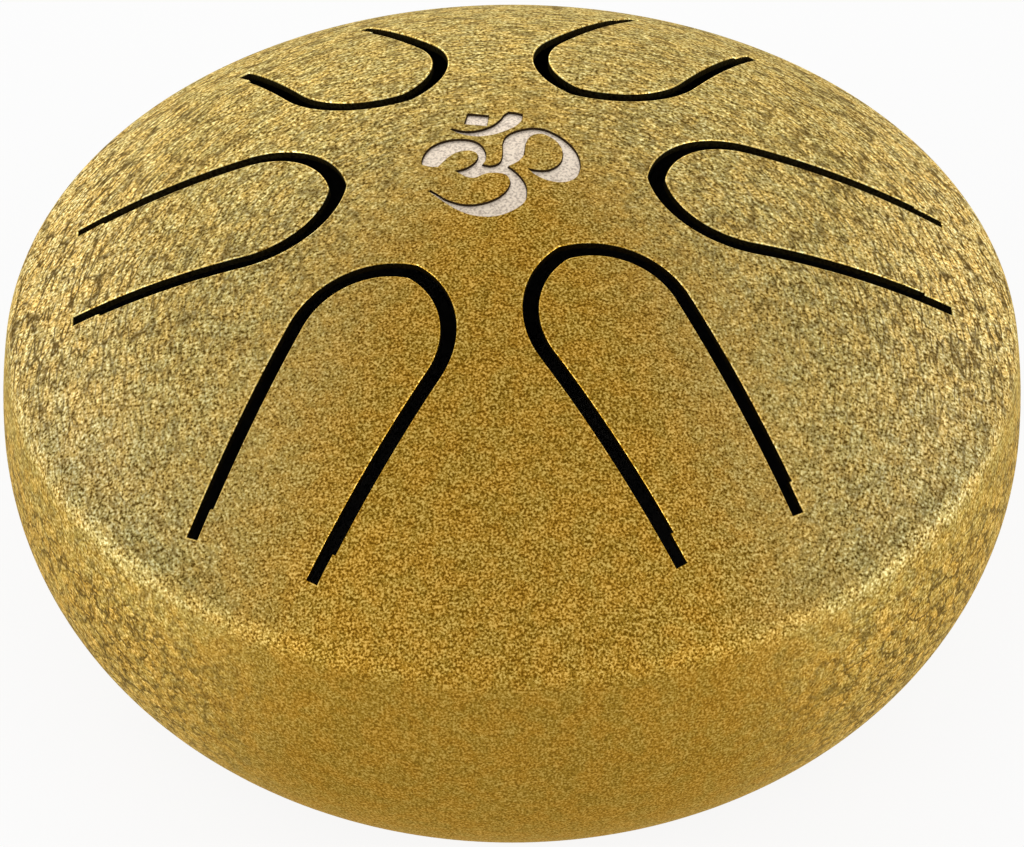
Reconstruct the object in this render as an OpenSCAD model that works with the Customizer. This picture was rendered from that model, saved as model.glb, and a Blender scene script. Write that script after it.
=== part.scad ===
// Steel tongue drum: two pressed shells welded rim to rim, six tongues cut in
// the domed top, a round sound hole in the base and three push-in rubber feet.
// Millimetres, +Z up, the origin on the floor under the middle of the drum.

/* [Shells] */
// Widest diameter of the drum, at the seam between its two shells
drum_d = 150; // [144:1:180]
// Rise of the dome above the shoulder
dome_rise = 27; // [20:0.5:34]
// How far the shoulder stands in from the widest part
shoulder_inset = 1.2; // [0.8:0.1:3]
// Outer radius of the rounded shoulder
shoulder_r = 6; // [3:0.5:9]
// Depth of the seam below the shoulder
seam_drop = 15; // [11:0.5:20]
// Depth of the base below the seam
base_drop = 31.5; // [25:0.5:36]
// Radius of the wall's curve below the seam
lower_wall_r = 40; // [37:0.5:50]
// Outer radius of the corner between the wall and the base
base_corner_r = 10; // [5:0.5:14]
// Thickness of the steel sheet
sheet_t = 1.2; // [0.8:0.1:1.6]
// Diameter of the sound hole in the base
sound_hole_d = 34; // [24:1:48]

/* [Tongues] */
// Sideways place of the centre of the tongue pattern
pattern_x = -2.9; // [-4:0.1:4]
// Front to back place of the centre of the tongue pattern
pattern_y = 3; // [-4:0.1:4]
// Usual distance from the pattern's centre to the pointed tip of a slot
tip_circle_r = 21.2; // [19:0.1:24]
// Usual width of the plain rim between the shoulder and the long tongues
rim_w = 7.3; // [6.5:0.2:14]
// Width across a slot where its pointed arch begins
slot_span_w = 24.8; // [20:0.2:28]
// Width of the slot along the sides of a tongue
slot_w = 2.2; // [1.4:0.1:2.8]
// How far the slot's pointed arch reaches past a half circle
slot_point_h = 2.7; // [0.5:0.1:5]
// How far the rounder tip of the tongue itself reaches past a half circle
tongue_point_h = 2.3; // [0.5:0.1:3]
// Angle at which each side of a tongue closes in towards its root
side_taper = 2.8; // [0:0.1:4]
// Length of the narrower stretch at each end of a slot
slot_end_l = 4; // [2:0.5:8]
// How much narrower the slot is along that stretch
slot_end_step = 0.45; // [0.2:0.05:0.8]
// Gap on the bend line at a tongue's root
root_gap = 0.1; // [0.05:0.05:0.2]

/* [Feet] */
// Height of a foot below the base
foot_h = 6; // [4:0.5:12]
// Diameter of a foot where it meets the base
foot_top_d = 16; // [13:0.5:20]
// Diameter of a foot on the floor
foot_floor_d = 13; // [9:0.5:16]
// Distance of each foot from the middle of the drum
foot_circle_r = 44; // [38:0.5:46]
// Diameter of the neck that passes through the base
foot_neck_d = 6; // [4:0.5:8]
// Diameter of the barb that holds a foot inside the drum
foot_barb_d = 8.6; // [8.2:0.1:11]
// Diameter of the barb's blunt end
foot_nose_d = 4; // [2:0.5:6]
// Height of the barb above the sheet
foot_barb_h = 4; // [2:0.5:6]
// Clearance between a foot's neck and the edge of its hole
foot_clearance = 0.1; // [0.05:0.05:0.3]

/* [Hidden] */

// How finely curves are drawn, the steps along each half of an arch, and how
// far a cut runs past the sheet
$fn = 180;
arch_steps = 14;
overrun = 3;

paint = [0.70, 0.55, 0.20];
black_rubber = [0.12, 0.12, 0.12];

// Heights of the base, the seam, the shoulder and the top of the dome
base_z = foot_h;
seam_z = base_z + base_drop;
shoulder_z = seam_z + seam_drop;
top_z = shoulder_z + dome_rise;

// The tongues, anticlockwise from the front left. The shares give each
// tongue its own tip and its own root, and so its length and its note.
front_left = 0;
front_right = 1;
right = 2;
back_right = 3;
back_left = 4;
left = 5;
tongue_angles = [240.3, 301.7, 1.5, 60.4, 121, 180.7];
tip_shares = [1, 0.86, 1.06, 1.11, 1.09, 0.99];
root_shares = [1.01, 1, 1, 0.92, 0.84, 0.915];

// Directions of the three feet from the middle of the drum
foot_back_angle = 90;
foot_front_left_angle = 210;
foot_front_right_angle = 330;

// The point at a distance and an angle from another point
function polar(from, dist, angle) = from + dist * [cos(angle), sin(angle)];
// The direction of one point from another
function bearing(from, to) = atan2(to[1] - from[1], to[0] - from[0]);
// Where two circles meet, on the side that is to the right of the way from
// the first centre to the second
function meeting(c1, r1, c2, r2) =
    let (d = norm(c2 - c1),
         along = (d * d + r1 * r1 - r2 * r2) / (2 * d),
         aside = sqrt(r1 * r1 - along * along),
         u = (c2 - c1) / d)
    c1 + along * u + aside * [u[1], -u[0]];

// Arcs of the outer profile, as centres in the plane of radius and height
drum_r = drum_d / 2;
shoulder_x = drum_r - shoulder_inset;
dome_r = (shoulder_x * shoulder_x + dome_rise * dome_rise) / (2 * dome_rise);
dome_c = [0, top_z - dome_r];
upper_wall_r = (seam_drop * seam_drop + shoulder_inset * shoulder_inset)
    / (2 * shoulder_inset);
upper_wall_c = [drum_r - upper_wall_r, seam_z];
shoulder_c = meeting(dome_c, dome_r - shoulder_r,
    upper_wall_c, upper_wall_r - shoulder_r);
dome_end = bearing(dome_c, shoulder_c);
wall_end = bearing(upper_wall_c, shoulder_c);
lower_wall_c = [drum_r - lower_wall_r, seam_z];
corner_start = -asin((base_drop - base_corner_r) / (lower_wall_r - base_corner_r));
corner_c = polar(lower_wall_c, lower_wall_r - base_corner_r, corner_start);

// The part of a circle between two directions from its centre
module sector(centre, radius, from, to) {
    reach = 2 * radius;
    intersection() {
        translate(centre) circle(r = radius);
        polygon([centre, polar(centre, reach, from), polar(centre, reach, to)]);
    }
}

// The half section of the dome alone, moved in from its outer face
module dome_half(inset) {
    intersection() {
        sector(dome_c, dome_r - inset, dome_end, 90);
        translate([0, seam_z]) square([drum_r, top_z - seam_z]);
    }
}

// The half section of everything above the seam
module top_half(inset) {
    dome_half(inset);
    translate(shoulder_c) circle(r = shoulder_r - inset);
    intersection() {
        sector(upper_wall_c, upper_wall_r - inset, 0, wall_end);
        translate([0, seam_z]) square([drum_r, seam_drop]);
    }
}

// The half section of everything below the seam
module bottom_half(inset) {
    sector(lower_wall_c, lower_wall_r - inset, corner_start, 0);
    translate(corner_c) circle(r = base_corner_r - inset);
    polygon([[0, base_z + inset], [corner_c[0], base_z + inset], corner_c,
        lower_wall_c, [0, seam_z]]);
}

// Square to a tongue's side, away from its middle line
side_normal = [sin(side_taper), cos(side_taper)];

// Points along an arc
function arc_points(centre, radius, from, to) =
    [for (k = [0 : arch_steps]) polar(centre, radius, from + (to - from) * k / arch_steps)];

// A point on a tapered side, moved out by a step
function on_side(side_start, x, step) =
    [x, side_start[1] - tan(side_taper) * (x - side_start[0]) + step];

// A side's points at the root, where its last stretch may be moved out
function side_end(side_start, root_x, step) =
    step == 0 ? [on_side(side_start, root_x, 0)]
    : [on_side(side_start, root_x, step), on_side(side_start, root_x - slot_end_l, step),
       on_side(side_start, root_x - slot_end_l, 0)];

// A tongue-shaped outline along +X: a pointed arch that runs smoothly into
// two sides, which close in on each other up to the root
module pointed_outline(side_start, point_h, root_x, left_step, right_step) {
    from_tip = [side_start[1] + point_h, side_start[1]];
    arch_r = (from_tip * from_tip) / (2 * (from_tip * side_normal));
    arch_c = side_start - arch_r * side_normal;
    tip = side_start - from_tip;
    arch = arc_points(arch_c, arch_r, 90 - side_taper, bearing(arch_c, tip));
    left_side = concat(side_end(side_start, root_x, left_step), arch);
    right_side = concat(side_end(side_start, root_x, right_step), arch);
    polygon(concat(left_side,
        [for (k = [len(right_side) - 2 : -1 : 0]) [right_side[k][0], -right_side[k][1]]]));
}

// Where the sides of a slot start, and where its root is
function side_start(i) = [tip_circle_r * tip_shares[i] + slot_span_w / 2 + slot_point_h,
    slot_span_w / 2];
function root_x(i) = (shoulder_x - rim_w) * root_shares[i];

// Places a tongue's outline on the drum
module on_pattern(i) {
    translate([pattern_x, pattern_y]) rotate(tongue_angles[i]) children();
}

// The outer edge of a slot, which closes straight across the root. At each
// of its two ends a slot narrows from the anticlockwise side.
module slot_outline(i) {
    on_pattern(i) pointed_outline(side_start(i), slot_point_h, root_x(i), -slot_end_step, 0);
}

// The tongue inside its slot
module tongue_outline(i) {
    on_pattern(i) pointed_outline(side_start(i) - slot_w * side_normal,
        tongue_point_h, root_x(i) - root_gap, 0, slot_end_step);
}

// Raises an outline through the dome
module through_dome() {
    translate([0, 0, shoulder_z - overrun])
        linear_extrude(dome_rise + 2 * overrun) children();
}

module top_shell() {
    color(paint)
        difference() {
            rotate_extrude() difference() {
                top_half(0);
                top_half(sheet_t);
            }
            for (i = [front_left : left]) through_dome() slot_outline(i);
        }
}

module tongue(i) {
    color(paint)
        intersection() {
            rotate_extrude() difference() {
                dome_half(0);
                dome_half(sheet_t);
            }
            through_dome() tongue_outline(i);
        }
}

module bottom_shell() {
    color(paint)
        difference() {
            rotate_extrude() difference() {
                bottom_half(0);
                bottom_half(sheet_t);
            }
            cylinder(d = sound_hole_d, h = base_z + sheet_t + overrun);
            for (angle = [foot_back_angle, foot_front_left_angle, foot_front_right_angle])
                translate(concat(polar([0, 0], foot_circle_r, angle), base_z - overrun))
                    cylinder(r = foot_neck_d / 2 + foot_clearance, h = sheet_t + 2 * overrun);
        }
}

// A rubber foot: a tapered pad below the base, a neck through it and a barb
// that springs open against the inside
module foot(angle) {
    color(black_rubber)
        translate(concat(polar([0, 0], foot_circle_r, angle), 0)) {
            cylinder(d1 = foot_floor_d, d2 = foot_top_d, h = foot_h);
            cylinder(d = foot_neck_d, h = base_z + sheet_t + foot_barb_h / 2);
            translate([0, 0, base_z + sheet_t])
                cylinder(d1 = foot_barb_d, d2 = foot_nose_d, h = foot_barb_h);
        }
}

top_shell();
bottom_shell();
tongue(front_left);  // tongue_front_left
tongue(front_right);  // tongue_front_right
tongue(right);  // tongue_right
tongue(back_right);  // tongue_back_right
tongue(back_left);  // tongue_back_left
tongue(left);  // tongue_left
foot(foot_back_angle);  // foot_back
foot(foot_front_left_angle);  // foot_front_left
foot(foot_front_right_angle);  // foot_front_right
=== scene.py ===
import math

import bpy
import numpy as np
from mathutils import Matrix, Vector, geometry


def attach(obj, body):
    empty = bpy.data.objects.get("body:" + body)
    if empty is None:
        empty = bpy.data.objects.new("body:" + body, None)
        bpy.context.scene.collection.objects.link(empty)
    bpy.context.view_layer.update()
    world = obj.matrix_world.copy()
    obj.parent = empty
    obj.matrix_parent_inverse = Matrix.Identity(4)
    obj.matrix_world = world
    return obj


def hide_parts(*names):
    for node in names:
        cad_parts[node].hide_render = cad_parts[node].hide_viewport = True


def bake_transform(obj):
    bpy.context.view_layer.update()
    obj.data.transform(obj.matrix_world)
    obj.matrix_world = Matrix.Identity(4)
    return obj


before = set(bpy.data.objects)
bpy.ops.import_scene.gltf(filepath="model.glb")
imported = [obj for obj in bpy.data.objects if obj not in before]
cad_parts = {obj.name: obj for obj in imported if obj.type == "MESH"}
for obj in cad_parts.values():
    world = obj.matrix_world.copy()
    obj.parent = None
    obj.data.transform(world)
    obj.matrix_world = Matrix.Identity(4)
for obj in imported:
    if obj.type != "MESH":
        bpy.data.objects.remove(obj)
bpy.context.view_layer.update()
print("frame loaded:", len(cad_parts), "nodes")

mm = 0.001


def inScene(name, data):
    # puts a mesh, a lamp or a camera into the scene
    thing = bpy.data.objects.new(name, data)
    bpy.context.scene.collection.objects.link(thing)
    return thing


# plane geometry in millimetres, seen from above

def turned(point, degrees):
    c, s = math.cos(math.radians(degrees)), math.sin(math.radians(degrees))
    return (point[0] * c - point[1] * s, point[0] * s + point[1] * c)


def arc(centre, radius, start, end, steps):
    angles = [math.radians(start + (end - start) * k / steps) for k in range(steps + 1)]
    return [(centre[0] + radius * math.cos(a), centre[1] + radius * math.sin(a)) for a in angles]


def circle(radius, steps, centre=(0.0, 0.0)):
    return arc(centre, radius, 0, 360, steps)[:-1]


def line(start, end, step):
    count = max(1, round(math.dist(start, end) / step))
    return [(start[0] + (end[0] - start[0]) * k / count, start[1] + (end[1] - start[1]) * k / count)
            for k in range(count + 1)]


def inside(points, loop):
    # even-odd test for many points at once
    x, y = points[:, 0], points[:, 1]
    hits = np.zeros(len(points), bool)
    loop = np.asarray(loop)
    for (x1, y1), (x2, y2) in zip(loop, np.roll(loop, -1, axis=0)):
        if y1 == y2:
            continue
        crosses = (y1 > y) != (y2 > y)
        hits ^= crosses & (x < (x2 - x1) * (y - y1) / (y2 - y1) + x1)
    return hits


def mitres(loop, least=0.35):
    # for each corner of an anticlockwise loop, the way out that keeps an offset of 1 on both sides.
    # the larger least is, the less far it runs out at a sharp corner
    p = np.asarray(loop, float)
    along = np.roll(p, -1, axis=0) - p
    along /= np.linalg.norm(along, axis=1)[:, None]
    out = np.stack([along[:, 1], -along[:, 0]], axis=1)
    total = out + np.roll(out, 1, axis=0)
    share = np.maximum((total * np.roll(out, 1, axis=0)).sum(1), least)
    return total / share[:, None]


def anticlockwise(loop):
    p = np.asarray(loop, float)
    q = np.roll(p, -1, axis=0)
    area = (p[:, 0] * q[:, 1] - q[:, 0] * p[:, 1]).sum()
    return loop if area > 0 else loop[::-1]


def smoothRun(points, step):
    # a smooth curve through given points
    pts = [np.array(p, float) for p in points]
    if len(pts) == 2:
        return [tuple(p) for p in line(pts[0], pts[1], step)]
    pts = [2 * pts[0] - pts[1]] + pts + [2 * pts[-1] - pts[-2]]
    run = []
    for a, b, c, d in zip(pts, pts[1:], pts[2:], pts[3:]):
        count = max(1, round(np.linalg.norm(c - b) / step))
        for k in range(count):
            t = k / count
            run.append(tuple(0.5 * (2 * b + (c - a) * t + (2 * a - 5 * b + 4 * c - d) * t * t
                                    + (3 * b - a - 3 * c + d) * t ** 3)))
    return run + [tuple(pts[-2])]


# the drum's own form in millimetres, the same sizes as the solids

shellForm = {
    "radius": 75.0,
    "domeRise": 27.0,
    "shoulderInset": 1.2,
    "shoulderRadius": 6.0,
    "seamDrop": 15.0,
    "baseDrop": 31.5,
    "lowerWallRadius": 40.0,
    "baseCornerRadius": 10.0,
    "sheet": 1.2,
    "baseHeight": 6.0,
    "soundHoleRadius": 17.0,
    "footHoleRadius": 3.1,
    "footCircle": 44.0,
    "footAngles": [90, 210, 330],
    "plateRadius": 70.0,      # out to here the dome is meshed from above, past it in rings
    "roundSteps": 240,
    "soundHoleSteps": 120,
    "footHoleSteps": 40,
    "rings": {"dome": 2, "shoulder": 14, "upperWall": 10, "corner": 12, "lowerWall": 22},
    "meshStep": 1.5,
    "meshGap": 0.6,           # share of a step that the mesh's own points keep from the outlines
}
slotForm = {
    "centre": (-2.9, 3.0),
    "tipCircle": 21.2,
    "rimWidth": 7.3,
    "span": 24.8,
    "width": 2.2,
    "slotPoint": 2.7,
    "tonguePoint": 2.3,
    "taper": 2.8,
    "endLength": 4.0,         # each end of a slot is narrower
    "endStep": 0.45,
    "edgeRadius": 0.2,        # the paint rounds the cut edges
    "edgeAngles": [0, 30, 60, 90],
    "sideSpacing": 1.2,       # of the points along an outline, and across its ends
    "endSpacing": 0.7,
    "tipSteps": (30, 26),     # round the tip of the slot and of the tongue
    "tongues": {              # direction, share of the tip circle, share of the root's reach
        "front_left": (240.3, 1.0, 1.01),
        "front_right": (301.7, 0.86, 1.0),
        "right": (1.5, 1.06, 1.0),
        "back_right": (60.4, 1.11, 0.92),
        "back_left": (121, 1.09, 0.84),
        "left": (180.7, 0.99, 0.915),
    },
    "bendLength": 10.0,
}

shoulderX = shellForm["radius"] - shellForm["shoulderInset"]
seamZ = shellForm["baseHeight"] + shellForm["baseDrop"]
topZ = seamZ + shellForm["seamDrop"] + shellForm["domeRise"]
domeRadius = (shoulderX ** 2 + shellForm["domeRise"] ** 2) / (2 * shellForm["domeRise"])
domeZ = topZ - domeRadius
upperWallRadius = ((shellForm["seamDrop"] ** 2 + shellForm["shoulderInset"] ** 2)
                   / (2 * shellForm["shoulderInset"]))


def meeting(c1, r1, c2, r2):
    # where two circles meet
    d = math.dist(c1, c2)
    along = (d * d + r1 * r1 - r2 * r2) / (2 * d)
    aside = math.sqrt(r1 * r1 - along * along)
    ux, uy = (c2[0] - c1[0]) / d, (c2[1] - c1[1]) / d
    return (c1[0] + along * ux + aside * uy, c1[1] + along * uy - aside * ux)


# the arcs of the shell's profile: centres in distance from the axis and height, ends in degrees
domeCentre = (0.0, domeZ)
upperWallCentre = (shellForm["radius"] - upperWallRadius, seamZ)
shoulderCentre = meeting(domeCentre, domeRadius - shellForm["shoulderRadius"],
                         upperWallCentre, upperWallRadius - shellForm["shoulderRadius"])
domeEnd = math.degrees(math.atan2(shoulderCentre[1] - domeZ, shoulderCentre[0]))
wallEnd = math.degrees(math.atan2(shoulderCentre[1] - seamZ, shoulderCentre[0] - upperWallCentre[0]))
lowerWallCentre = (shellForm["radius"] - shellForm["lowerWallRadius"], seamZ)
cornerReach = shellForm["lowerWallRadius"] - shellForm["baseCornerRadius"]
cornerStart = -math.degrees(math.asin((shellForm["baseDrop"] - shellForm["baseCornerRadius"]) / cornerReach))
cornerCentre = (lowerWallCentre[0] + cornerReach * math.cos(math.radians(cornerStart)),
                seamZ + cornerReach * math.sin(math.radians(cornerStart)))


def domeAt(x, y):
    # outer surface of the dome above a plan point, and the way out of it
    z = math.sqrt(domeRadius ** 2 - x * x - y * y)
    return np.array([x, y, domeZ + z]), np.array([x, y, z]) / domeRadius


def baseAt(x, y):
    return np.array([x, y, shellForm["baseHeight"]]), np.array([0.0, 0.0, -1.0])


def rootReach(rootShare):
    # from the middle of the pattern to a tongue's root
    return (shoulderX - slotForm["rimWidth"]) * rootShare


def slotPath(direction, tipShare, rootShare):
    # one slot from above: its outer edge, two square ends and the tongue's edge inside it
    tan, c, s = (f(math.radians(slotForm["taper"])) for f in (math.tan, math.cos, math.sin))
    half = slotForm["span"] / 2
    start = (slotForm["tipCircle"] * tipShare + half + slotForm["slotPoint"], half)
    rootX = rootReach(rootShare)

    def edge(start, point, steps, step=0.0):
        # from the root to the tip, on the left-hand side. step moves the last stretch at the root out
        reach = (start[1] + point, start[1])
        radius = (reach[0] ** 2 + reach[1] ** 2) / (2 * (reach[0] * s + reach[1] * c))
        middle = (start[0] - radius * s, start[1] - radius * c)
        tip = (start[0] - reach[0], 0.0)
        tipAngle = math.degrees(math.atan2(tip[1] - middle[1], tip[0] - middle[0])) % 360

        def side(x, out=0.0):
            return (x, start[1] - tan * (x - start[0]) + out)

        shelf, spacing = rootX - slotForm["endLength"], slotForm["sideSpacing"]
        stretch = line(side(rootX, step), side(shelf, step), spacing) if step else []
        straight = line(side(shelf if step else rootX), start, spacing)
        return stretch + straight + arc(middle, radius, 90 - slotForm["taper"], tipAngle, steps)[1:]

    def mirrored(run):
        return [(x, -y) for x, y in run]

    width, step = slotForm["width"], slotForm["endStep"]
    within = (start[0] - width * s, start[1] - width * c)
    outer = (start, slotForm["slotPoint"], slotForm["tipSteps"][0])
    inner = (within, slotForm["tonguePoint"], slotForm["tipSteps"][1])
    outerRun = edge(*outer, -step) + mirrored(edge(*outer))[-2::-1]
    innerRun = mirrored(edge(*inner, step)) + edge(*inner)[-2::-1]
    ends = [line(a, b, slotForm["endSpacing"])[1:-1]
            for a, b in ((outerRun[-1], innerRun[0]), (innerRun[-1], outerRun[0]))]
    loop = outerRun + ends[0] + innerRun + ends[1]
    first = len(outerRun) + len(ends[0])
    cx, cy = slotForm["centre"]
    placed = [(cx + x, cy + y) for x, y in (turned(p, direction) for p in loop)]
    return placed, (first, first + len(innerRun) - 1)


# the sign on top, drawn from its tips and corners, in millimetres from the middle of the pattern
signForm = {
    "depth": 0.34,
    "edge": 0.13,
    "step": 0.4,
    "letter": [
        [(-10.1, 2.3), (-10.2, 3.1), (-9.9, 4.6), (-9.1, 6.2), (-7.8, 7.3), (-6.3, 7.9), (-4.6, 8.0),
         (-3.2, 7.7), (-2.0, 6.9), (-1.2, 5.6), (-0.8, 4.0), (-0.9, 2.5), (-1.3, 1.7)],
        [(-1.3, 1.7), (-0.4, 1.3), (0.5, 1.5), (1.1, 2.1), (1.4, 3.1), (1.5, 4.6), (1.5, 6.5), (1.8, 7.9),
         (2.4, 8.9), (3.4, 9.7), (4.7, 10.3), (6.1, 10.6), (7.6, 10.3), (9.0, 9.4), (10.5, 7.9),
         (11.6, 6.3), (12.4, 4.5), (12.8, 2.4), (12.7, 0.6), (12.2, -0.9), (11.2, -1.9), (9.9, -2.3),
         (8.4, -2.1), (7.0, -1.4), (5.9, -0.4), (5.1, 0.7)],
        [(5.1, 0.7), (6.2, 0.4), (7.3, 0.3), (8.4, 0.6), (9.4, 1.5), (10.0, 2.7), (10.2, 4.3), (10.0, 5.8),
         (9.3, 7.3), (8.3, 8.4), (7.3, 9.0), (6.3, 8.9), (5.5, 8.2), (5.0, 6.9), (4.8, 5.2), (4.6, 3.7),
         (4.0, 2.5), (3.2, 1.7), (2.4, 1.1)],
        [(2.4, 1.1), (3.3, 0.1), (4.2, -1.3), (4.9, -3.0), (5.1, -4.7), (4.9, -6.3), (4.1, -7.6),
         (2.8, -8.7), (1.3, -9.5), (-0.3, -9.8), (-2.0, -9.6), (-3.6, -9.0), (-5.1, -8.0), (-6.4, -6.8),
         (-7.7, -5.4), (-9.1, -3.8)],
        [(-9.1, -3.8), (-8.8, -3.5)],
        [(-8.8, -3.5), (-7.8, -4.5), (-6.6, -5.7), (-5.3, -6.5), (-4.0, -7.0), (-2.5, -7.1), (-1.1, -6.8),
         (0.4, -6.1), (1.5, -5.1), (2.3, -3.8), (2.6, -2.4), (2.3, -1.2), (1.6, -0.6), (0.6, -0.4),
         (-0.4, -0.4), (-1.3, -0.7), (-2.0, -1.2), (-2.8, -1.4), (-3.8, -1.0), (-5.4, 0.4)],
        [(-5.4, 0.4), (-4.6, 0.6), (-3.7, 1.0), (-2.8, 1.8), (-2.2, 2.8), (-2.1, 4.0), (-2.6, 4.7),
         (-3.4, 5.0), (-4.5, 4.9), (-5.5, 4.4), (-6.4, 3.5), (-7.1, 2.5), (-7.8, 1.5)],
        [(-7.8, 1.5), (-8.9, 1.7), (-10.1, 2.3)],
    ],
    "crescent": [
        [(-5.8, 10.8), (-4.9, 10.3), (-3.7, 9.9), (-2.2, 10.0), (-0.8, 10.6), (0.3, 11.5), (1.2, 12.8),
         (1.7, 14.0), (2.4, 14.8)],
        [(2.4, 14.8), (3.5, 14.6), (4.5, 14.1)],
        [(4.5, 14.1), (4.4, 12.8), (3.9, 11.6), (3.0, 10.5), (1.8, 9.6), (0.5, 8.9), (-0.8, 8.5),
         (-2.1, 8.4), (-3.4, 8.7), (-4.7, 9.3), (-6.1, 10.5)],
        [(-6.1, 10.5), (-5.8, 10.8)],
    ],
    "dot": [
        [(-3.6, 14.6), (-0.4, 13.9)], [(-0.4, 13.9), (-0.7, 11.0)], [(-0.7, 11.0), (-4.1, 11.7)],
        [(-4.1, 11.7), (-3.6, 14.6)],
    ],
}


def signLoops():
    loops = []
    cx, cy = slotForm["centre"]
    for part in ("letter", "crescent", "dot"):
        run = []
        for stroke in signForm[part]:
            run += smoothRun(stroke, signForm["step"])[:-1]
        loops.append(anticlockwise([(cx + x, cy + y) for x, y in run]))
    return loops


def filled(plan, edges, outline, holes):
    # adds points between the loops and joins all into triangles
    step = shellForm["meshStep"]
    fixed = np.array(plan)
    reach = np.abs(np.array(outline)).max()
    rows, columns = (np.arange(-reach, reach, spacing) for spacing in (step * math.sqrt(0.75), step))
    grid = np.array([(x + (k % 2) * step / 2, y) for k, y in enumerate(rows) for x in columns])
    grid = grid[inside(grid, outline)]
    near = np.array([np.min(((fixed - g) ** 2).sum(1)) for g in grid])
    grid = grid[near > (shellForm["meshGap"] * step) ** 2]
    for loop in holes:
        grid = grid[~inside(grid, loop)]
    plan = plan + [tuple(g) for g in grid]
    closest = 1e-7    # points nearer than this would become one
    made = geometry.delaunay_2d_cdt([Vector(p) for p in plan], edges, [], 0, closest)
    origin = [o[0] if o else None for o in made[3]]
    if None in origin:
        raise ValueError("the outlines cross each other")
    return np.array(plan), np.array([[origin[v] for v in f] for f in made[2]])


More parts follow.
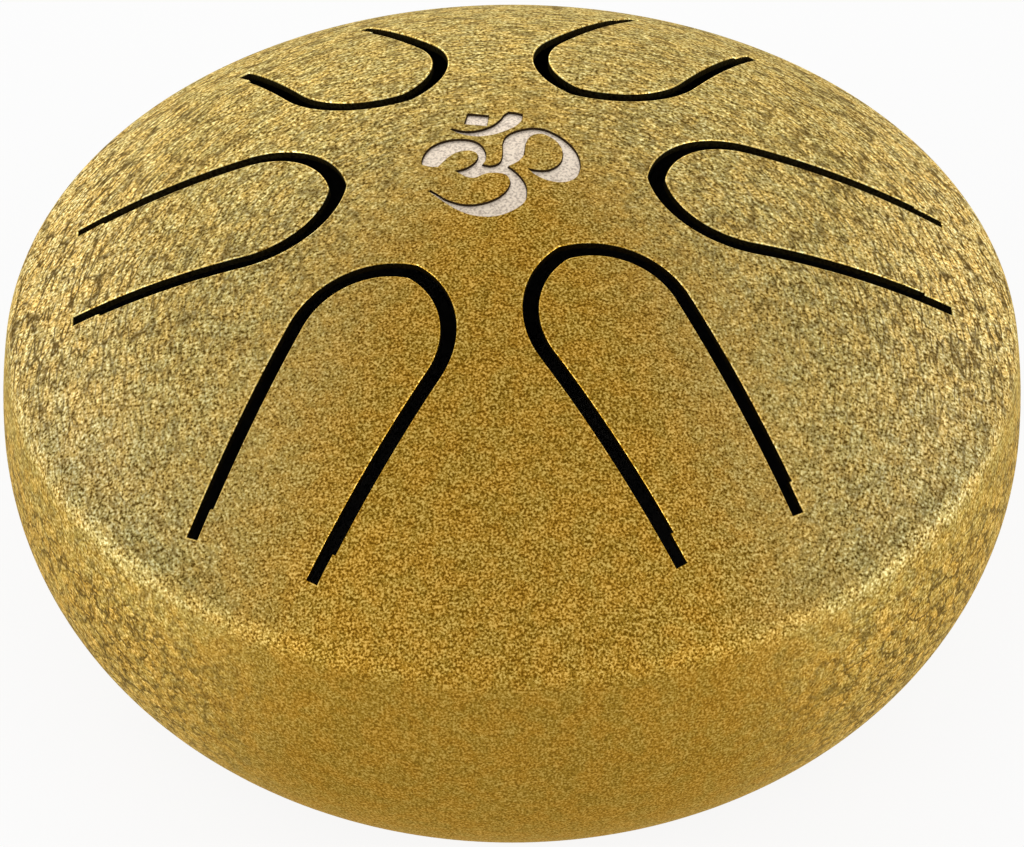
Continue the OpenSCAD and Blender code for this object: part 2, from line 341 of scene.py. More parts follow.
class Sheet:
    # pressed steel sheet as one mesh, sorted into pieces: faces are kept with their piece and their kind
    def __init__(self, surface, thickness):
        self.surface, self.thickness = surface, thickness
        self.points, self.outNormals, self.inNormals, self.faces = [], [], [], []

    def add(self, point, outNormal, inNormal):
        self.points.append(point)
        self.outNormals.append(outNormal)
        self.inNormals.append(inNormal)
        return len(self.points) - 1

    def addAt(self, plan, depth, toHole=None, turn=0.0):
        # a point under a plan point, where turn leans its normal towards the hole
        point, normal = self.surface(plan[0], plan[1])
        lean = normal
        if toHole is not None:
            flat = np.array([toHole[0], toHole[1], 0.0])
            flat -= normal * (flat @ normal)
            flat /= np.linalg.norm(flat)
            lean = math.cos(math.radians(turn)) * normal + math.sin(math.radians(turn)) * flat
        return self.add(point - depth * normal, lean, -normal)

    def face(self, piece, kind, corners, out=None):
        # out: roughly the way a cut face looks
        self.faces.append((piece, kind, corners, out))

    def plate(self, outline, holes, main, sunk=()):
        # meshes the sheet inside outline. holes: loop, and for a slot the two ends of its tongue's edge
        # and its name. sunk: loops of the sign
        plan, edges = [], []

        def put(points, closed):
            first, count = len(plan), len(points)
            plan.extend(points)
            edges.extend((first + k, first + (k + 1) % count) for k in range(count if closed else count - 1))
            return list(range(first, first + count))

        rim = put(outline, True)
        cuts, roots, floors = [], {}, []
        for loop, marks, piece in holes:
            way = mitres(loop)
            loop = np.asarray(loop)
            around = put([tuple(p) for p in loop + slotForm["edgeRadius"] * way], True)
            cuts.append((loop, way, marks, piece, around))
        for _, _, marks, piece, around in cuts:
            if marks:
                ends = [around[m] for m in marks]
                between = line(plan[ends[0]], plan[ends[1]], shellForm["meshStep"])[1:-1]
                run = [ends[0]] + put(between, False) + [ends[1]]
                edges.extend([(run[0], run[1]), (run[-2], run[-1])])
                roots[piece] = run
        for loop in sunk:
            put(loop, True)
            lowered, halfway = (np.asarray(loop) - share * signForm["edge"] * mitres(loop)
                                for share in (1.0, 0.5))
            floors.append((loop, lowered, halfway, put([tuple(p) for p in lowered], True)))

        plan, triangles = filled(plan, edges, outline, [cut[0] for cut in cuts])
        centres = plan[triangles].mean(1)
        keep = inside(centres, outline)
        owner, kind = (np.array([usual] * len(centres), dtype=object) for usual in (main, "skin"))
        for _, _, marks, piece, around in cuts:
            keep &= ~inside(centres, plan[around])
            if marks:
                owner[inside(centres, plan[around[marks[0]:marks[1] + 1]])] = piece
        depth = np.zeros(len(plan))
        for loop, lowered, halfway, ids in floors:
            kind[inside(centres, loop)] = "signEdge"
            kind[inside(centres, lowered)] = "signFloor"
            depth[ids] = signForm["depth"]
            depth[inside(plan, halfway)] = signForm["depth"]
        top = [self.addAt(p, d) for p, d in zip(plan, depth)]
        under = [self.addAt(p, self.thickness) for p in plan]
        for corners, who, what, good in zip(triangles, owner, kind, keep):
            if good:
                self.face(who, what, [top[v] for v in corners])
                self.face(who, "inside", [under[v] for v in corners])
        for cut in cuts:
            levels = self.cutEdge(cut, top, under, main)
            if cut[2]:
                self.rootFaces(cut, roots[cut[3]], levels, top, under, main)
        return [top[v] for v in rim], [under[v] for v in rim]

    def cutEdge(self, cut, top, under, main):
        # the rounded edge of a hole, its wall and the strip next to it inside
        loop, way, marks, piece, around = cut
        radius = slotForm["edgeRadius"]
        levels = [[top[v] for v in around]]
        for turn in slotForm["edgeAngles"][1:]:
            t = math.radians(turn)
            out, down = radius * (1 - math.sin(t)), radius * (1 - math.cos(t))
            levels.append([self.addAt(p + out * w, down, -w, turn) for p, w in zip(loop, way)])
        levels.append([self.addAt(p, self.thickness, -w, 90) for p, w in zip(loop, way)])
        levels.append([under[v] for v in around])
        strips = ["lip"] * (len(slotForm["edgeAngles"]) - 1) + ["wall", "inside"]
        for k in range(len(loop)):
            n = (k + 1) % len(loop)
            who = piece if marks and marks[0] <= k < marks[1] else main
            for kind, upper, lower in zip(strips, levels, levels[1:]):
                self.face(who, kind, [upper[k], upper[n], lower[n], lower[k]])
        return levels

    def rootFaces(self, cut, run, levels, top, under, main):
        # both sides of the cut through the sheet at a tongue's root, shut while the tongue rests
        _, _, marks, piece, around = cut
        tip = top[around[len(around) // 4]]    # a quarter of the way round is near the slot's tip
        rootward = self.points[top[run[0]]] + self.points[top[run[-1]]] - 2 * self.points[tip]
        for who, out in ((piece, rootward), (main, -rootward)):
            for a, b in zip(run, run[1:]):
                self.face(who, "cut", [top[a], top[b], under[b], under[a]], out)
            for m in marks:
                self.face(who, "cut", [level[m] for level in levels], out)

    def rings(self, piece, first, profile):
        # carries a rim on in rings round the drum's axis, to the seam. profile: (centre, radius, angles)
        outer, inner = first
        count = len(outer)
        for centre, radius, angles in profile:
            for angle in angles:
                c, s = math.cos(math.radians(angle)), math.sin(math.radians(angle))
                rows = []
                for depth in (0.0, self.thickness):
                    r, z = centre[0] + (radius - depth) * c, centre[1] + (radius - depth) * s
                    row = []
                    for k in range(count):
                        a = 2 * math.pi * k / count
                        out = np.array([c * math.cos(a), c * math.sin(a), s])
                        row.append(self.add(np.array([r * math.cos(a), r * math.sin(a), z]), out, -out))
                    rows.append(row)
                for k in range(count):
                    n = (k + 1) % count
                    self.face(piece, "skin", [outer[k], outer[n], rows[0][n], rows[0][k]])
                    self.face(piece, "inside", [inner[k], inner[n], rows[1][n], rows[1][k]])
                outer, inner = rows
        seamward = np.array([0.0, 0.0, seamZ - self.points[first[0][0]][2]])
        for k in range(count):
            n = (k + 1) % count
            self.face(piece, "cut", [outer[k], outer[n], inner[n], inner[k]], seamward)

    def build(self, piece, name, finishes):
        # makes one piece's mesh. finishes: material for each kind of face
        faces = [(kind, corners, out) for who, kind, corners, out in self.faces if who == piece]
        used = sorted({v for _, corners, _ in faces for v in corners})
        place = {v: k for k, v in enumerate(used)}
        points = np.array([self.points[v] for v in used])
        rows, normals, kinds = [], [], []
        for kind, corners, out in faces:
            p = np.array([self.points[v] for v in corners])
            q = np.roll(p, -1, axis=0)
            across = np.array([((p[:, 1] - q[:, 1]) * (p[:, 2] + q[:, 2])).sum(),
                               ((p[:, 2] - q[:, 2]) * (p[:, 0] + q[:, 0])).sum(),
                               ((p[:, 0] - q[:, 0]) * (p[:, 1] + q[:, 1])).sum()])
            length = np.linalg.norm(across)
            if length < 1e-12:    # a face with no area
                continue
            across /= length
            source = self.inNormals if kind == "inside" else self.outNormals
            wanted = [source[v] for v in corners]
            if across @ (out if kind == "cut" else np.mean(wanted, axis=0)) < 0:
                corners, across, wanted = corners[::-1], -across, wanted[::-1]
            rows.append([place[v] for v in corners])
            normals += [across] * len(corners) if kind in ("cut", "signEdge") else wanted
            kinds.append(kind)
        mesh = bpy.data.meshes.new(name)
        mesh.from_pydata((points * mm).tolist(), [], rows)
        materials = list(dict.fromkeys(finishes.values()))
        for material in materials:
            mesh.materials.append(material)
        mesh.polygons.foreach_set("material_index", [materials.index(finishes[k]) for k in kinds])
        mesh.polygons.foreach_set("use_smooth", [True] * len(rows))
        mesh.update()
        mesh.normals_split_custom_set([Vector(n) for n in normals])
        return inScene(name, mesh)


# materials

class Nodes:
    # small helper that adds nodes to a material and links them
    def __init__(self, name):
        self.material = bpy.data.materials.new(name)
        self.material.use_nodes = True
        self.tree = self.material.node_tree
        self.shader = self.tree.nodes["Principled BSDF"]
        self.output = self.tree.nodes["Material Output"]

    def add(self, kind, ins=None, **settings):
        node = self.tree.nodes.new(kind)
        for key, value in settings.items():
            setattr(node, key, value)
        for key, value in (ins or {}).items():
            self.set(node, key, value)
        return node

    def set(self, node, key, value):
        if isinstance(value, bpy.types.NodeSocket):
            self.tree.links.new(value, node.inputs[key])
        else:
            node.inputs[key].default_value = value

    def math(self, operation, a, b=0.0):
        return self.add("ShaderNodeMath", {0: a, 1: b}, operation=operation).outputs[0]

    def times(self, first, *others):
        for other in others:
            first = self.math("MULTIPLY", first, other)
        return first

    def plus(self, first, *others):
        for other in others:
            first = self.math("ADD", first, other)
        return first

    def rest(self, share):
        return self.math("SUBTRACT", 1.0, share)

    def vector(self, operation, a, b=(0.0, 0.0, 0.0)):
        return self.add("ShaderNodeVectorMath", {0: a, 1: b}, operation=operation).outputs[0]

    def length(self, a):
        return self.add("ShaderNodeVectorMath", {0: a}, operation="LENGTH").outputs["Value"]

    def noise(self, place, scale, detail, output="Fac"):
        node = self.add("ShaderNodeTexNoise", {"Vector": place, "Scale": scale, "Detail": detail})
        return node.outputs[output]

    def ramp(self, factor, low, high, fromLow=0.0, fromHigh=1.0):
        ends = {"From Min": fromLow, "From Max": fromHigh, "To Min": low, "To Max": high}
        node = self.add("ShaderNodeMapRange", {"Value": factor, **ends}, interpolation_type="SMOOTHSTEP")
        return node.outputs["Result"]

    def zone(self, value, start, whole):
        # share of a zone that starts at one value and is whole from the other on, upwards or downwards
        if start < whole:
            return self.ramp(value, 0.0, 1.0, start, whole)
        return self.ramp(value, 1.0, 0.0, whole, start)

    def between(self, factor, a, b):
        return self.add("ShaderNodeMix", {0: factor, 2: a, 3: b}).outputs[0]

    def blend(self, factor, a, b, mode="MIX"):
        node = self.add("ShaderNodeMix", data_type="RGBA", blend_type=mode)
        for key, value in (("Factor", factor), ("A", a), ("B", b)):
            socket = next(s for s in node.inputs if s.name == key and (key == "Factor") == (s.type == "VALUE")
                          and s.type in ("VALUE", "RGBA"))
            if isinstance(value, bpy.types.NodeSocket):
                self.tree.links.new(value, socket)
            else:
                socket.default_value = value
        return next(s for s in node.outputs if s.type == "RGBA")

    def tinted(self, share, colour, tint):
        return self.blend(share, colour, tint, "MULTIPLY")

    def millimetres(self):
        place = self.add("ShaderNodeTexCoord").outputs["Object"]
        return self.vector("MULTIPLY", place, (1000, 1000, 1000))

    def bumped(self, height, strength, distance):
        bump = self.add("ShaderNodeBump", {"Height": height, "Strength": strength, "Distance": distance})
        self.set(self.shader, "Normal", bump.outputs[0])


goldPaint = {
    # dark, usual and pale grains of the paint: in front, on the dome's sides and back, and on the wall's; the
    # zones differ as painted light: painted shade in front, painted sheen on the dome's sides and back,
    # painted light on the wall
    "front": [(0.150, 0.072, 0.002, 1), (0.345, 0.200, 0.020, 1), (0.62, 0.42, 0.10, 1)],
    "sides": [(0.112, 0.062, 0.007, 1), (0.471, 0.351, 0.100, 1), (0.78, 0.67, 0.31, 1)],
    "wall": [(0.215, 0.115, 0.012, 1), (0.480, 0.318, 0.062, 1), (0.82, 0.61, 0.21, 1)],
    "usualFrom": (0.34, 0.50),         # grain in which dark turns to usual
    "paleFrom": (0.50, 0.68),          # and usual to pale
    "quietWall": 0.35,                 # how far the wall's grains in front fade to the usual one
    "olive": (0.96, 1.0, 1.09, 1),     # tints of the coarse clouds
    "warm": (1.05, 0.99, 0.92, 1),
    "oliveFrom": (0.35, 0.65),
    "metallic": 0.95,
    "roughness": 0.65,
    "roughnessSwing": 0.08,
    "roughnessFrom": (0.3, 0.7),
    "glancing": (1.0, 0.86, 0.55, 1),  # tint of the gloss seen edge-on
    "grainSize": 0.33,                 # millimetres, as all sizes here
    "sideGrainSize": 0.44,
    "sideGrainShare": 0.75,
    "cloudSize": 3.2,
    "grainHeight": 0.05,
    "backStretch": 0.0035,             # draws the pattern out from front to back, more and more behind
    # painted light and shade, multiplied into the paint's colour
    "paintedLightAndShade": {
        # painted highlight along the top of the wall, under the shoulder
        "wallTop": (0.98, 1.04, 1.14, 1),
        # painted shade just inside the crease, in front
        "crease": (0.74, 0.76, 0.75, 1),
        # painted shade on the dome near its rim, in front
        "rim": (0.84, 0.85, 0.87, 1),
        # painted shade on the dome in front
        "domeInFront": (0.95, 0.95, 0.94, 1),
        # painted sheen on the dome's back
        "domeBehind": (1.11, 1.11, 1.12, 1),
        # painted sheen, paler and bluer, on the dome's far sides
        "domeOutside": (1.38, 1.37, 1.54, 1),
    },
    "zones": {                         # millimetres: where a zone starts and where it is whole
        "wall": (53.0, 49.5),          # in height
        "wallTopFoot": (41.0, 48.0),
        "wallTopHead": (53.0, 51.0),
        "creaseFoot": (51.5, 53.0),
        "creaseHead": (57.0, 54.0),
        "rimFoot": (52.5, 54.5),
        "rim": (52.0, 68.0),           # from the drum's axis
        "darkLines": (35.0, 68.0),
        "outside": (44.0, 68.0),       # sideways
        "offMiddle": (15.0, 45.0),
        "front": (-2.0, -38.0),        # from front to back
        "pastFront": (-15.0, 5.0),
        "behind": (-14.0, 6.0),
        "aside": (-1.0, 46.0),         # by asideWeights
    },
    "asideWeights": (1.3, 0.5, 0.5, 6.0),  # of x, of y, of y behind the middle, and past the front
    "wrinkles": {                      # of the leathery sides and back
        "colour": (0.080, 0.042, 0.008, 1),
        # size of the cells, how far and how finely they wander, size of the mottling
        "dome": (1.8, 1.1, 0.35, 0.55),
        "wall": (2.6, 2.6, 0.7, 1.3),
        "wallShape": (1.0, 0.72, 1.0),     # on the wall the cells are longer from front to back
        "ringCentre": (0.0, -35.0, 0.0),   # on the dome they run round this place
        "ringStretch": 20.0,           # the smaller this, the longer they are drawn out
        "lineWidth": 0.14,             # share of a cell
        "lineDark": (0.55, 0.95),      # near the middle and near the rim
        "gapFineness": 0.42,
        "gapEnds": (0.36, 0.54),
        "edgeWidth": 0.40,             # share of a cell, up to its middle
        "mottleEnds": (0.33, 0.67),
        "cellShades": (0.92, 1.06),    # painted shade along a cell's edge and painted light in its middle
        "mottleShades": (0.76, 1.20),
        "height": 0.16,
        "smoothed": (0.1, 0.4, 0.55),  # how much weaker on the wall, on its top and on the dome in front
    },
}


def makeGoldPaint(name, shade=1.0, wrinkled=True, gloss=0.0):
    # metallic paint with a sandy grain. shade: scales its colours, above 1 for a painted highlight and below
    # 1 for painted shade
    look, leather = goldPaint, goldPaint["wrinkles"]
    n = Nodes(name)
    x, y, z = n.add("ShaderNodeSeparateXYZ", {"Vector": n.millimetres()}).outputs

    def zone(value, which):
        return n.zone(value, *look["zones"][which])

    across, behind = n.math("ABSOLUTE", x), n.math("MAXIMUM", y, 0.0)
    along = n.math("SUBTRACT", y, n.times(behind, behind, look["backStretch"]))
    place = n.add("ShaderNodeCombineXYZ", {"X": x, "Y": along, "Z": z}).outputs[0]
    sideways = (across, y, behind, zone(y, "pastFront"))
    aside = n.plus(*(n.times(way, weight) for way, weight in zip(sideways, look["asideWeights"])))
    aside, onWall = zone(aside, "aside"), zone(z, "wall")
    fine, coarse = (n.noise(place, 1 / look[size], 1.0) for size in ("grainSize", "sideGrainSize"))
    grain = n.between(n.times(aside, look["sideGrainShare"]), fine, coarse)
    cloud = n.noise(place, 1 / look["cloudSize"], 2.0)

    def shaded(colour):
        return [c * shade for c in colour[:3]] + [1]

    # by zone: painted shade in front, painted sheen on the dome's sides and back, painted light on the wall
    dark, usual, pale = (n.blend(aside, shaded(front), n.blend(onWall, shaded(side), shaded(wall)))
                         for front, side, wall in zip(look["front"], look["sides"], look["wall"]))
    base = n.blend(n.zone(grain, *look["usualFrom"]), dark, usual)
    base = n.blend(n.zone(grain, *look["paleFrom"]), base, pale)
    base = n.blend(n.times(n.rest(aside), onWall, look["quietWall"]), base, usual)
    base = n.tinted(1.0, base, n.blend(n.zone(cloud, *look["oliveFrom"]), look["warm"], look["olive"]))
    height = n.times(grain, look["grainHeight"] * mm)
    if wrinkled:
        flat = n.add("ShaderNodeCombineXYZ", {"X": x, "Y": y}).outputs[0]
        radius, inFront, onDome = n.length(flat), zone(y, "front"), n.rest(onWall)
        # where each painted highlight, painted shade and painted sheen lies; wallTop and domeInFront also
        # smooth the wrinkles
        shares = {
            "wallTop": n.times(zone(z, "wallTopFoot"), zone(z, "wallTopHead")),
            "crease": n.times(zone(z, "creaseFoot"), zone(z, "creaseHead"), inFront),
            "rim": n.times(zone(radius, "rim"), zone(z, "rimFoot"), inFront),
            "domeInFront": n.times(inFront, onDome),
            "domeBehind": n.times(zone(y, "behind"), zone(across, "offMiddle"), onDome),
            "domeOutside": n.times(zone(across, "outside"), onDome),
        }
        # paints the highlight, shade and sheen above into the colour, each in its own place
        for part, share in shares.items():
            base = n.tinted(n.times(share, aside), base, look["paintedLightAndShade"][part])
        smooth = n.plus(*(n.times(share, weight) for share, weight in
                          zip((onWall, shares["wallTop"], shares["domeInFront"]), leather["smoothed"])))
        rough = n.times(aside, n.rest(smooth))
        above = wrinkles(n, "dome", place, inRings(n, flat, z))
        below = wrinkles(n, "wall", place, n.vector("MULTIPLY", place, leather["wallShape"]))
        lines, middle, mottle = (n.between(onWall, *both) for both in zip(above, below))
        # the cells get painted shade along their edges and painted light in their middles; the mottling
        # varies the tone at random
        for share, (low, high) in ((middle, leather["cellShades"]), (mottle, leather["mottleShades"])):
            base = n.tinted(rough, base, n.blend(share, [low] * 3 + [1], [high] * 3 + [1]))
        strength = n.ramp(radius, *leather["lineDark"], *look["zones"]["darkLines"])
        base = n.blend(n.times(lines, rough, strength), base, leather["colour"])
        height = n.plus(height, n.times(middle, rough, leather["height"] * mm))
    n.set(n.shader, "Base Color", base)
    n.set(n.shader, "Metallic", look["metallic"])
    n.set(n.shader, "Specular Tint", look["glancing"])
    roughness, swing = look["roughness"] - gloss, look["roughnessSwing"]
    n.set(n.shader, "Roughness", n.ramp(grain, roughness + swing, roughness - swing, *look["roughnessFrom"]))
    n.bumped(height, 1.0, 1.0)
    return n.material


def inRings(n, flat, z):
    # coordinates that shrink along rings, so that a pattern is drawn out along them
    look = goldPaint["wrinkles"]
    away = n.vector("SUBTRACT", flat, look["ringCentre"])
    rings = n.vector("MULTIPLY", n.vector("NORMALIZE", away), [look["ringStretch"]] * 3)
    outward = n.add("ShaderNodeCombineXYZ", {"Z": n.math("SUBTRACT", n.length(away), z)}).outputs[0]
    return n.vector("ADD", rings, outward)


def wrinkles(n, part, place, drawn):
    # broken lines, the cells between them and their mottling
    look = goldPaint["wrinkles"]
    size, far, fineness, mottleSize = look[part]
    wander = n.vector("MULTIPLY", n.noise(place, fineness, 2.0, "Color"), [far] * 3)
    moved = n.vector("ADD", drawn, wander)
    cells = n.add("ShaderNodeTexVoronoi", {"Vector": moved, "Scale": 1 / size}, feature="DISTANCE_TO_EDGE")
    fromEdge = cells.outputs["Distance"]
    gaps = n.noise(place, look["gapFineness"], 1.0)
    lines = n.times(n.zone(fromEdge, look["lineWidth"], 0.0), n.zone(gaps, *look["gapEnds"]))
    mottle = n.noise(moved, 1 / mottleSize, 1.0)
    return lines, n.zone(fromEdge, 0.0, look["edgeWidth"]), n.zone(mottle, *look["mottleEnds"])


bareSteel = {
    "light": (0.76, 0.65, 0.52, 1),
    "dark": (0.44, 0.36, 0.29, 1),
    "lightFrom": (0.30, 0.58),
    "metallic": 0.7,
    "roughness": (0.6, 0.4),           # of its dark and its light grains
    "fineness": 2.5,
    "grainHeight": 0.05,
}


def makeBareSteel():
    look = bareSteel
    n = Nodes("bareSteel")
    grain = n.noise(n.millimetres(), look["fineness"], 2.0)
    n.set(n.shader, "Base Color", n.blend(n.zone(grain, *look["lightFrom"]), look["dark"], look["light"]))
    n.set(n.shader, "Metallic", look["metallic"])
    n.set(n.shader, "Roughness", n.ramp(grain, *look["roughness"]))
    n.bumped(grain, 1.0, look["grainHeight"] * mm)
    return n.material


darkSignEdgeLook = {
    "low": (0.008, 0.004, 0.001, 1),
    "high": (0.035, 0.018, 0.005, 1),
    "fineness": 1.5,
    "roughness": 0.8,
    "specular": 0.1,
}


def makeDarkSignEdge():
    # the near-black edge round the sign
    look = darkSignEdgeLook
    n = Nodes("darkSignEdge")
    grain = n.noise(n.millimetres(), look["fineness"], 2.0)
    n.set(n.shader, "Base Color", n.blend(grain, look["low"], look["high"]))
    n.set(n.shader, "Roughness", look["roughness"])
    n.set(n.shader, "Specular IOR Level", look["specular"])
    return n.material


darkPrimerAndShade = {
    "low": (0.010, 0.009, 0.008, 1),
    "high": (0.035, 0.030, 0.024, 1),
    "highFrom": (0.3, 0.7),
    "cloudFineness": 0.12,
    "roughness": 0.75,
    "grainFineness": 1.6,
    "grainStrength": 0.6,
    "grainHeight": 0.1,
}


def makeDarkPrimerAndShade():
    # scale and primer inside the drum, kept near-black also as painted shade of its closed inside
    look = darkPrimerAndShade
    n = Nodes("darkPrimerAndShade")
    place = n.millimetres()
    cloud = n.zone(n.noise(place, look["cloudFineness"], 4.0), *look["highFrom"])
    n.set(n.shader, "Base Color", n.blend(cloud, look["low"], look["high"]))
    n.set(n.shader, "Roughness", look["roughness"])
    n.bumped(n.noise(place, look["grainFineness"], 2.0), look["grainStrength"], look["grainHeight"] * mm)
    return n.material


blackRubber = {
    "low": (0.012, 0.012, 0.013, 1),
    "high": (0.030, 0.030, 0.031, 1),
    "cloudFineness": 0.5,
    "roughness": (0.52, 0.72),         # where it is darkest and lightest
    "grainFineness": 5.0,
    "grainStrength": 0.5,
    "grainHeight": 0.05,
}


def makeBlackRubber():
    look = blackRubber
    n = Nodes("blackRubber")
    place = n.millimetres()
    cloud = n.noise(place, look["cloudFineness"], 4.0)
    n.set(n.shader, "Base Color", n.blend(cloud, look["low"], look["high"]))
    n.set(n.shader, "Roughness", n.ramp(cloud, *look["roughness"]))
    n.bumped(n.noise(place, look["grainFineness"], 2.0), look["grainStrength"], look["grainHeight"] * mm)
    return n.material


paint = makeGoldPaint("texturedGoldPaint")
# the rounded cut edges: a paler painted highlight, in a glossier paint
edgeHighlightPaint = makeGoldPaint("paintedHighlightOnTheEdges", shade=1.45, wrinkled=False, gloss=0.3)
# the slots' walls: the gold paint darkened almost to black, painted shade inside the slots
slotShadePaint = makeGoldPaint("paintedShadeInTheSlots", shade=0.05, wrinkled=False)
steel, signEdgeDark, primerAndShade, rubber = makeBareSteel(), makeDarkSignEdge(), makeDarkPrimerAndShade(), makeBlackRubber()
# the finish of each kind of face
finishes = {"skin": paint, "lip": edgeHighlightPaint, "wall": slotShadePaint, "inside": primerAndShade, "cut": primerAndShade,
            "signFloor": steel, "signEdge": signEdgeDark}
print("materials made")


def spread(start, end, part):
    # the angles of a part's rings
    count = shellForm["rings"][part]
    return [start + (end - start) * k / count for k in range(1, count + 1)]


# the top sheet and its six tongues, meshed together so that they meet without a seam
steps = shellForm["roundSteps"]
topSheet = Sheet(domeAt, shellForm["sheet"])
slots = [(*slotPath(*shape), name) for name, shape in slotForm["tongues"].items()]
rims = topSheet.plate(circle(shellForm["plateRadius"], steps), slots, "shell", signLoops())
plateAngle = math.degrees(math.acos(shellForm["plateRadius"] / domeRadius))
topSheet.rings("shell", rims, [
    (domeCentre, domeRadius, spread(plateAngle, domeEnd, "dome")),
    (shoulderCentre, shellForm["shoulderRadius"], spread(domeEnd, wallEnd, "shoulder")),
    (upperWallCentre, upperWallRadius, spread(wallEnd, 0, "upperWall")),
])
topSkin = topSheet.build("shell", "top_skin", finishes)
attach(topSkin, "shell")
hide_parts("top_shell")
for name, (direction, _, rootShare) in slotForm["tongues"].items():
    tongue = topSheet.build(name, "tongue_skin_" + name, finishes)
    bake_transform(tongue)
    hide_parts("tongue_" + name)
print("top sheet made:", len(topSheet.faces), "faces")

# the bottom shell
bottomSheet = Sheet(baseAt, shellForm["sheet"])
holes = [(circle(shellForm["soundHoleRadius"], shellForm["soundHoleSteps"]), None, None)]
for angle in shellForm["footAngles"]:
    centre = turned((shellForm["footCircle"], 0), angle)
    holes.append((circle(shellForm["footHoleRadius"], shellForm["footHoleSteps"], centre), None, None))
rims = bottomSheet.plate(circle(cornerCentre[0], steps), holes, "shell")
bottomSheet.rings("shell", rims, [
    (cornerCentre, shellForm["baseCornerRadius"], spread(-90, cornerStart, "corner")),
    (lowerWallCentre, shellForm["lowerWallRadius"], spread(cornerStart, 0, "lowerWall")),
])
bottomSkin = bottomSheet.build("shell", "bottom_skin", finishes)
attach(bottomSkin, "shell")
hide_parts("bottom_shell")
print("bottom sheet made")

# the feet, turned round their own axes
footForm = {
    "steps": 72,
    "sharpFrom": 40,          # degrees
    # radius and height in millimetres, from the floor up
    "profile": [(0, 0.35), (3.6, 0.35), (4.0, 0.3), (4.4, 0.06), (4.7, 0), (5.9, 0), (6.2, 0.06),
                (6.42, 0.22), (6.56, 0.5), (7.62, 4.8), (7.86, 5.4), (7.9, 5.7), (7.84, 5.9), (7.6, 6.0),
                (3.0, 6.0), (3.0, 7.2), (4.2, 7.2), (4.3, 7.3), (4.28, 7.55), (2.35, 10.9), (2.1, 11.12),
                (1.8, 11.2), (0, 11.2)],
}


def turnedFoot(name, centre):
    points, faces, rows = [], [], []
    steps = footForm["steps"]
    for r, z in footForm["profile"]:
        if r == 0:
            rows.append([len(points)] * steps)
            points.append((centre[0] * mm, centre[1] * mm, z * mm))
            continue
        rows.append(list(range(len(points), len(points) + steps)))
        points += [((centre[0] + r * math.cos(2 * math.pi * k / steps)) * mm,
                    (centre[1] + r * math.sin(2 * math.pi * k / steps)) * mm, z * mm) for k in range(steps)]
    for low, high in zip(rows, rows[1:]):
        for k in range(steps):
            n = (k + 1) % steps
            faces.append(list(dict.fromkeys([low[k], low[n], high[n], high[k]])))
    mesh = bpy.data.meshes.new(name)
    mesh.from_pydata(points, [], faces)
    mesh.materials.append(rubber)
    mesh.polygons.foreach_set("use_smooth", [True] * len(faces))
    mesh.set_sharp_from_angle(angle=math.radians(footForm["sharpFrom"]))
    return inScene(name, mesh)


for name, angle in zip(("foot_back", "foot_front_left", "foot_front_right"), shellForm["footAngles"]):
    foot = turnedFoot(name.replace("foot", "pad"), turned((shellForm["footCircle"], 0), angle))
    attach(foot, "shell")
    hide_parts(name)
print("feet made")

# floor, light and camera
stageLook = {
    "floorSize": 6.0,
    "floor": (0.86, 0.86, 0.86, 1),
    "floorRoughness": 0.7,
    "floorSpecular": 0.1,
    "floorWhite": 0.88,      # how much of the floor is plain white to the camera; the rest keeps the shadow
    "shade": (38.0, 50.0),   # millimetres from the middle: under the drum the floor isn't whitened
    "world": 0.72,
    "lamps": [               # name, power, size, place, colour
        ("back", 4.0, 0.9, (-0.15, 1.05, 0.15), (1, 1, 1)),
        ("left", 11.0, 0.9, (-1.0, -0.45, 0.12), (1, 1, 1)),
        ("right", 9.5, 0.9, (1.0, -0.45, 0.12), (1, 1, 1)),
    ],
    "lampsFace": (0, 0, 0.05),
}


def seenDirectly(tree):
    # 1 for what the camera sees, also mirrored or through glass
    path = tree.nodes.new("ShaderNodeLightPath")
    socket = path.outputs["Is Camera Ray"]
    for other in ("Is Glossy Ray", "Is Transmission Ray"):
        most = tree.nodes.new("ShaderNodeMath")
        most.operation = "MAXIMUM"
        tree.links.new(socket, most.inputs[0])
        tree.links.new(path.outputs[other], most.inputs[1])
        socket = most.outputs[0]
    return socket


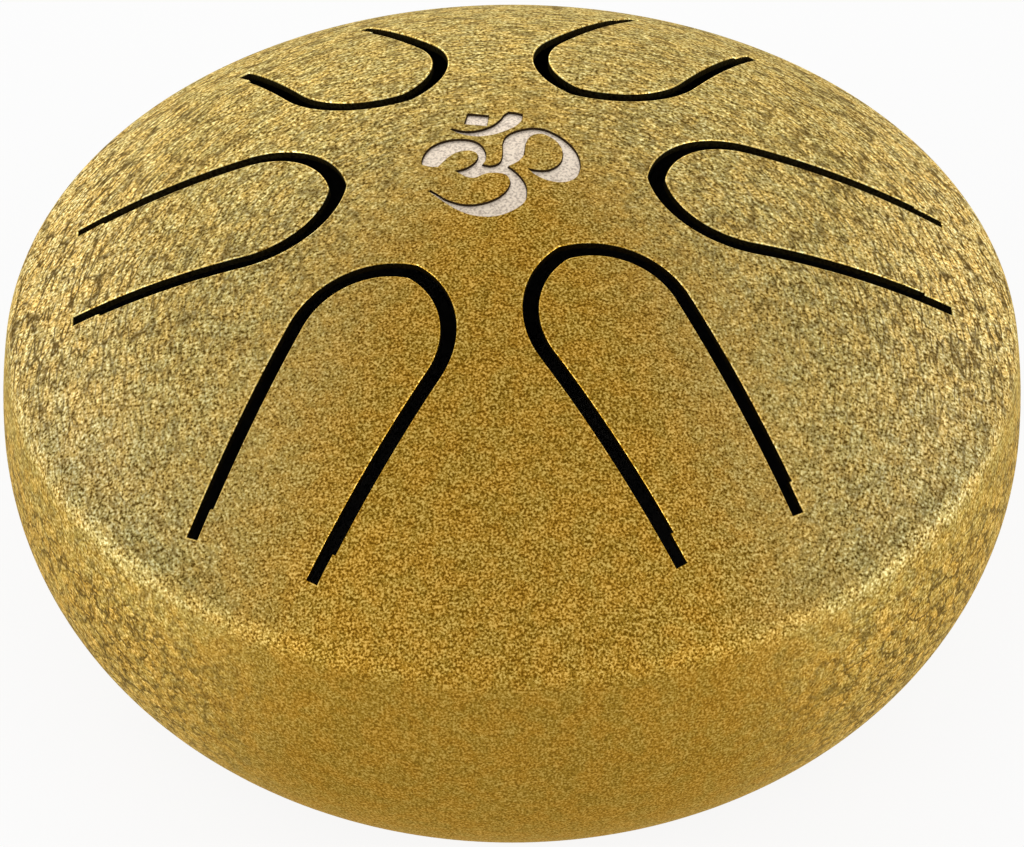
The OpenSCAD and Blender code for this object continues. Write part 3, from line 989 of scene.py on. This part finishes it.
def makeStage():
    look = stageLook
    mesh = bpy.data.meshes.new("floor")
    h = look["floorSize"] / 2
    mesh.from_pydata([(-h, -h, 0), (h, -h, 0), (h, h, 0), (-h, h, 0)], [], [(0, 1, 2, 3)])
    floor = inScene("floor", mesh)
    n = Nodes("paleFloor")
    n.set(n.shader, "Base Color", look["floor"])
    n.set(n.shader, "Roughness", look["floorRoughness"])
    n.set(n.shader, "Specular IOR Level", look["floorSpecular"])
    white = n.add("ShaderNodeEmission", {"Color": (1, 1, 1, 1)})
    outside = n.ramp(n.length(n.millimetres()), 0.0, look["floorWhite"], *look["shade"])
    share = n.times(seenDirectly(n.tree), outside)
    mixed = n.add("ShaderNodeMixShader", {0: share, 1: n.shader.outputs[0], 2: white.outputs[0]})
    n.set(n.output, "Surface", mixed.outputs[0])
    mesh.materials.append(n.material)
    world = bpy.data.worlds.new("studio")
    bpy.context.scene.world = world
    world.use_nodes = True
    tree = world.node_tree
    background = tree.nodes["Background"]
    strength = tree.nodes.new("ShaderNodeMapRange")
    strength.inputs["To Min"].default_value = look["world"]
    strength.inputs["To Max"].default_value = 1.0
    tree.links.new(seenDirectly(tree), strength.inputs["Value"])
    tree.links.new(strength.outputs["Result"], background.inputs["Strength"])
    background.inputs["Color"].default_value = (1, 1, 1, 1)
    for name, power, size, place, colour in look["lamps"]:
        lamp = bpy.data.lights.new(name, "AREA")
        lamp.energy, lamp.size, lamp.color = power, size, colour
        holder = inScene(name, lamp)
        holder.location = place
        way = Vector(look["lampsFace"]) - Vector(place)
        holder.rotation_euler = way.to_track_quat("-Z", "Y").to_euler()


cameraLook = {
    "place": (0.0, -0.6990, 0.6824),
    "tilt": 47.09,
    "lens": 226.0,
    "sensor": 36.0,
    "clip": (0.05, 20),
}


def makeCamera():
    data = bpy.data.cameras.new("camera")
    data.lens, data.sensor_width, data.sensor_fit = cameraLook["lens"], cameraLook["sensor"], "HORIZONTAL"
    data.clip_start, data.clip_end = cameraLook["clip"]
    camera = inScene("camera", data)
    camera.location = cameraLook["place"]
    camera.rotation_euler = (math.radians(cameraLook["tilt"]), 0, 0)
    bpy.context.scene.camera = camera


makeStage()
makeCamera()
bpy.context.scene.view_settings.view_transform = "Standard"
print("stage, lamps and camera made")

bpy.context.view_layer.update()
